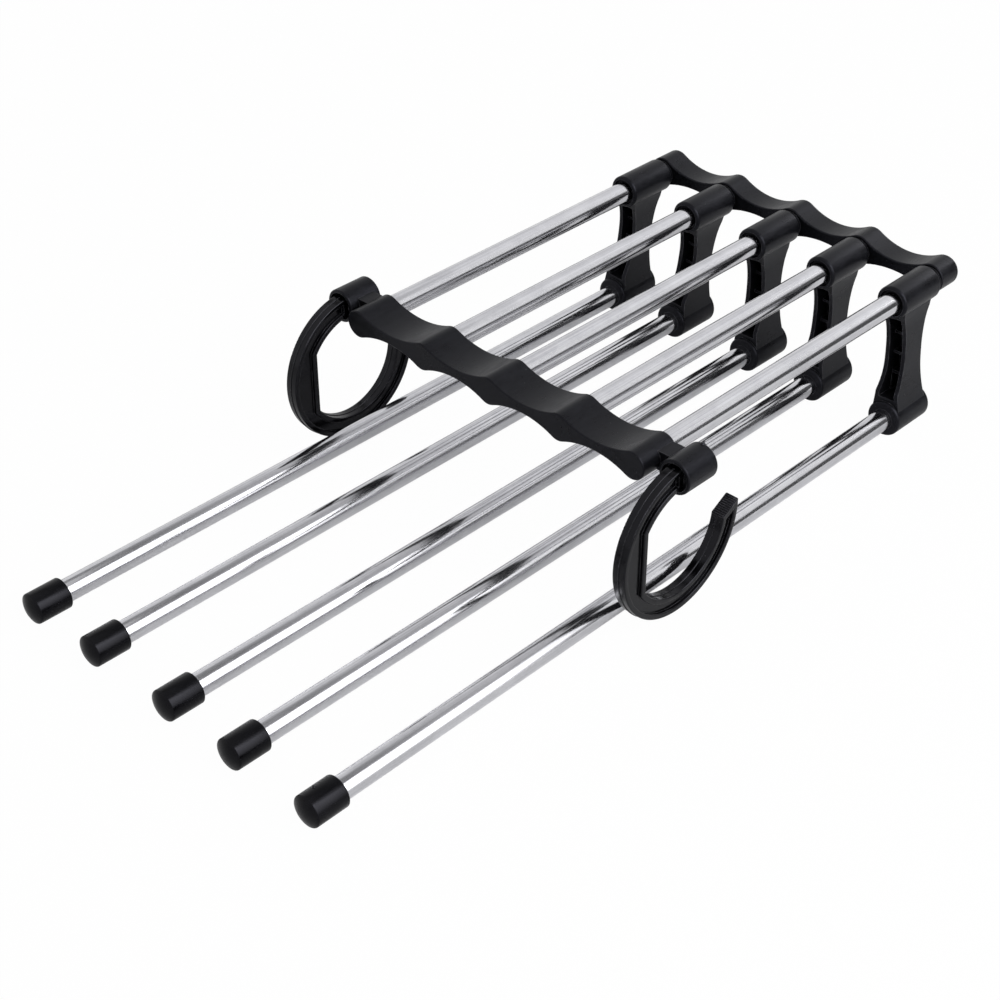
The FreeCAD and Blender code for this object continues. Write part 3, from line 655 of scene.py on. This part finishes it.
def turned_form(outline, x, z):
    """A round form about an axis along Y, from an outline that starts and ends on the axis."""
    form = bmesh.new()
    turns = [math.tau * step / CAP_SEGMENTS for step in range(CAP_SEGMENTS)]
    rings = []
    for radius, y in outline:
        if radius == 0.0:
            rings.append([form.verts.new((x, y, z))])
            continue
        rings.append([form.verts.new((x + radius * math.sin(turn), y, z + radius * math.cos(turn)))
                      for turn in turns])
    for ring, following in zip(rings, rings[1:]):
        for step in range(CAP_SEGMENTS):
            after = (step + 1) % CAP_SEGMENTS
            if len(ring) == 1:
                form.faces.new((ring[0], following[step], following[after]))
            elif len(following) == 1:
                form.faces.new((ring[step], ring[after], following[0]))
            else:
                form.faces.new((ring[step], ring[after], following[after], following[step]))
    bmesh.ops.recalc_face_normals(form, faces=form.faces)
    return form


def fit_caps(gate_tree):
    """A domed cap on each rod, with its gate mark turned its own way."""
    for tier in TIERS:
        low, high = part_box(f"end_cap_{tier}")
        x, z = rod_place(tier)
        form = turned_form(cap_outline(low.y, high.y), x, z)
        cap = shape_piece(f"domed_cap_{tier}", form, f"arm_{tier}", CAP_PLASTIC, CAP_CREASE_ANGLE)
        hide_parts(f"end_cap_{tier}")
        turn = math.radians(CAP_GATE_TURNS[tier])
        radius = CAP_DIAMETER / 2
        place = (x + radius * math.sin(turn), low.y + CAP_GATE_INSET, z + radius * math.cos(turn))
        gate = grow(f"cap_gate_{tier}", gate_tree, f"arm_{tier}", Place=place, Turn=(0.0, turn, 0.0),
                    Finish=CAP_PLASTIC)


def slant_tip(form):
    """Slide points round a hook's ring, further towards its inside, so that the end of its tip slopes."""
    start = math.radians(SLANT_START)
    full = math.radians(SLANT_FULL)
    limit = math.radians(SLANT_LIMIT)
    for vert in form.verts:
        across, depth, height = vert.co
        arm = Vector((depth - HOOK_CENTRE_Y, height - HOOK_CENTRE_Z))
        turn = math.atan2(arm.y, arm.x)
        if start < turn < limit:
            chamfer = max(HOOK_INNER_RADIUS + HOOK_TIP_CHAMFER - arm.length, 0.0)
            drop = HOOK_TIP_SLOPE * (HOOK_RADIUS - arm.length) - chamfer
            turn -= drop / arm.length * min((turn - start) / (full - start), 1.0)
            vert.co = (across, HOOK_CENTRE_Y + arm.length * math.cos(turn),
                       HOOK_CENTRE_Z + arm.length * math.sin(turn))


def finish_hooks(gate_tree):
    """The hooks with their mould seams and tip ridges, and a gate mark on the right hook's collar."""
    seam_tree = make_seam_tree()
    ridge_tree = make_ridge_tree()
    slope_foot = HOOK_CENTRE_Z + HOOK_TIP_RISE - HOOK_TIP_SLOPE * (HOOK_RADIUS - HOOK_INNER_RADIUS)
    ridge_step = Vector((0.0, 1.0, HOOK_TIP_SLOPE)).normalized() * RIDGE_PITCH
    for side, x in (("left", -HOOK_X), ("right", HOOK_X)):
        body = f"hook_{side}"
        seams = grow(f"hook_seams_{side}", seam_tree, body, Centre=(x, HOOK_CENTRE_Y, HOOK_CENTRE_Z),
                     Finish=HOOK_PLASTIC)
        first_ridge = Vector((x, HOOK_CENTRE_Y + HOOK_INNER_RADIUS, slope_foot)) + ridge_step * RIDGE_FIRST
        ridges = grow(f"hook_tip_ridges_{side}", ridge_tree, body, Count=RIDGE_COUNT,
                      Length=HOOK_THICKNESS * RIDGE_WIDTH_SHARE, First_Place=first_ridge, Step=ridge_step,
                      Finish=HOOK_PLASTIC)
        form = merged_copy(f"hook_{side}")
        slant_tip(form)
        hook = shape_piece(f"slant_tip_hook_{side}", form, body, HOOK_PLASTIC, CREASE_ANGLE)
        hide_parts(f"hook_{side}")
    gate_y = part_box("front_beam")[1].y - COLLAR_GATE_INSET
    gate_z = AXIS_HEIGHT + COLLAR_RADIUS - COLLAR_GATE_SINK
    gate = grow("collar_gate", gate_tree, "frame", Width=COLLAR_GATE_WIDTH, Height=COLLAR_GATE_HEIGHT,
                Place=(HOOK_X, gate_y, gate_z), Turn=(math.radians(COLLAR_GATE_TURN), 0.0, 0.0),
                Finish=BEAM_PLASTIC)


def make_floor():
    """A pale floor that reads as white and keeps a soft shadow."""
    mesh = bpy.data.meshes.new("floor")
    corners = [(-FLOOR_REACH, -FLOOR_REACH, 0.0), (FLOOR_REACH, -FLOOR_REACH, 0.0),
               (FLOOR_REACH, FLOOR_REACH, 0.0), (-FLOOR_REACH, FLOOR_REACH, 0.0)]
    mesh.from_pydata(corners, [], [(0, 1, 2, 3)])
    floor = bpy.data.objects.new("floor", mesh)
    bpy.context.scene.collection.objects.link(floor)
    material, nodes = new_material("pale_floor")
    paper = nodes.add("ShaderNodeBsdfDiffuse", Color=(0.9, 0.9, 0.905, 1.0))
    white = nodes.add("ShaderNodeEmission", Color=(1.0, 1.0, 1.0, 1.0), Strength=1.0)
    path = nodes.add("ShaderNodeLightPath").outputs
    clear = nodes.math("MAXIMUM", path["Is Camera Ray"], path["Is Transmission Ray"])
    seen = nodes.math("MULTIPLY", clear, FLOOR_SEEN_WHITE)
    mirrored = nodes.math("MULTIPLY", path["Is Glossy Ray"], FLOOR_MIRRORED_WHITE)
    both = nodes.add("ShaderNodeMixShader")
    nodes.give(both.inputs["Fac"], nodes.math("MAXIMUM", seen, mirrored))
    nodes.give(both.inputs[1], paper.outputs["BSDF"])
    nodes.give(both.inputs[2], white.outputs["Emission"])
    nodes.add("ShaderNodeOutputMaterial", Surface=both.outputs["Shader"])
    mesh.materials.append(material)


def make_world():
    """Even pale surroundings: white to look at, in mirrors and through clear things, and softer as light."""
    world = bpy.data.worlds.new("studio")
    bpy.context.scene.world = world
    world.use_nodes = True
    world.node_tree.nodes.clear()
    nodes = NodeTree(world.node_tree)
    path = nodes.add("ShaderNodeLightPath").outputs
    direct = nodes.math("MAXIMUM", path["Is Camera Ray"], path["Is Glossy Ray"])
    seen = nodes.math("MAXIMUM", direct, path["Is Transmission Ray"])
    strength = nodes.ranged(seen, 0.0, 1.0, WORLD_LIGHT, 1.0)
    backdrop = nodes.add("ShaderNodeBackground", Color=(1.0, 1.0, 1.0, 1.0), Strength=strength)
    nodes.add("ShaderNodeOutputWorld", Surface=backdrop.outputs["Background"])


def add_softbox(name, place, width, height, brightness):
    """A rectangular lamp that faces the hanger, its power set from the brightness of its face."""
    lamp = bpy.data.lights.new(name, "AREA")
    lamp.shape = "RECTANGLE"
    lamp.size = width
    lamp.size_y = height
    lamp.energy = brightness * math.pi * width * height
    softbox = bpy.data.objects.new(name, lamp)
    bpy.context.scene.collection.objects.link(softbox)
    softbox.location = place
    softbox.rotation_euler = (Vector(LAMP_TARGET) - Vector(place)).to_track_quat("-Z", "Y").to_euler()
    softbox.visible_camera = False
    softbox.visible_glossy = False
    bpy.context.view_layer.update()
    return [softbox.matrix_world @ Vector((width * u, height * v, -LAMP_TO_CARD))
            for u, v in ((-0.5, -0.5), (0.5, -0.5), (0.5, 0.5), (-0.5, 0.5))]


def add_card(name, corners, axis, low_tone, high_tone):
    """A card that shows only in glossy surfaces, its tone graded along an axis, to give them their bands."""
    mesh = bpy.data.meshes.new(name)
    mesh.from_pydata(corners, [], [tuple(range(len(corners)))])
    card = bpy.data.objects.new(name, mesh)
    bpy.context.scene.collection.objects.link(card)
    card.visible_camera = False
    card.visible_diffuse = False
    card.visible_shadow = False
    card.visible_transmission = False
    material, nodes = new_material(name)
    place = nodes.add("ShaderNodeSeparateXYZ", Vector=nodes.add("ShaderNodeTexCoord").outputs["Object"])
    ends = [corner["XYZ".index(axis)] for corner in corners]
    tone = nodes.ranged(place.outputs[axis], min(ends), max(ends), low_tone, high_tone)
    shade = nodes.add("ShaderNodeEmission", Color=(0.99, 0.99, 1.0, 1.0), Strength=tone)
    nodes.add("ShaderNodeOutputMaterial", Surface=shade.outputs["Emission"])
    mesh.materials.append(material)


def level_card(height, *places):
    """Corners of a card that lies level at a height."""
    return [(x, y, height) for x, y in places]


def light_studio():
    """Two soft lamps, and the cards round the hanger that its tubes mirror as bands."""
    side_face = add_softbox("side_softbox", (1.0, 0.1, 0.72), 1.15, 1.2, 2.8)
    add_softbox("left_softbox", (-1.1, 0.3, 0.9), 1.0, 0.8, 0.8)
    near_foot, far_foot, far_head, near_head = side_face
    side_foot = (near_foot.lerp(near_head, SIDE_FOOT_REACH), far_foot.lerp(far_head, SIDE_FOOT_REACH),
                 far_foot, near_foot)
    rear_top = level_card(REAR_CARD_HEIGHT, (-0.3, 1.36), (0.6, 1.36), (0.6, 2.6), (-0.3, 2.6))
    back = ((0.5, 1.0, 0.0), (1.6, 1.0, 0.0), (1.6, 1.0, 0.55), (0.5, 1.0, 0.55))
    over = level_card(CEILING_HEIGHT, (0.35, 0.3), (0.72, 0.3), (0.72, 0.75), (0.58, 0.75))
    near_ceiling = level_card(CEILING_HEIGHT, (-1.3, 0.3), (0.35, 0.3), (0.46, 0.5), (-1.3, 0.5))
    ceiling = level_card(CEILING_HEIGHT, (-1.3, 0.5), (0.46, 0.5), (0.58, 0.75), (-1.3, 0.75))
    far_ceiling = level_card(CEILING_HEIGHT, (-2.2, 0.75), (0.3, 0.75), (0.3, 1.9), (-2.2, 1.9))
    add_card("side_face", side_face, "Z", 2.5, 9.0)
    add_card("side_foot", side_foot, "Z", 1.6, 2.5)
    add_card("rear_top_card", rear_top, "X", 2.5, 6.5)
    add_card("back_card", back, "Z", 0.1, 0.1)
    add_card("over_card", over, "X", 2.2, 2.2)
    add_card("near_ceiling_card", near_ceiling, "Y", 0.05, 0.6)
    add_card("ceiling_card", ceiling, "X", 0.9, 0.52)
    add_card("far_ceiling_card", far_ceiling, "X", 0.7, 1.15)


def set_camera():
    """The camera of the photograph: high, from the front right."""
    camera = bpy.data.cameras.new("camera")
    camera.sensor_width = CAMERA_SENSOR
    camera.lens = CAMERA_LENS
    camera.clip_start = 0.05
    camera.clip_end = 50.0
    view = bpy.data.objects.new("camera", camera)
    bpy.context.scene.collection.objects.link(view)
    turn = math.radians(CAMERA_TURN)
    rise = math.radians(CAMERA_RISE)
    back = Vector((math.sin(turn) * math.cos(rise), -math.cos(turn) * math.cos(rise), math.sin(rise)))
    right = Vector((math.cos(turn), math.sin(turn), 0.0))
    aim = Matrix((right, back.cross(right), back)).transposed()
    view.matrix_world = Matrix.LocRotScale(Vector(CAMERA_PLACE), aim, None)
    bpy.context.scene.camera = view


finish_solids()
lay_tubes()
shape_links()
GATE_TREE = make_gate_tree()
fit_caps(GATE_TREE)
finish_hooks(GATE_TREE)

make_floor()
make_world()
light_studio()
set_camera()
bpy.context.scene.view_settings.view_transform = "Standard"

bpy.context.view_layer.update()
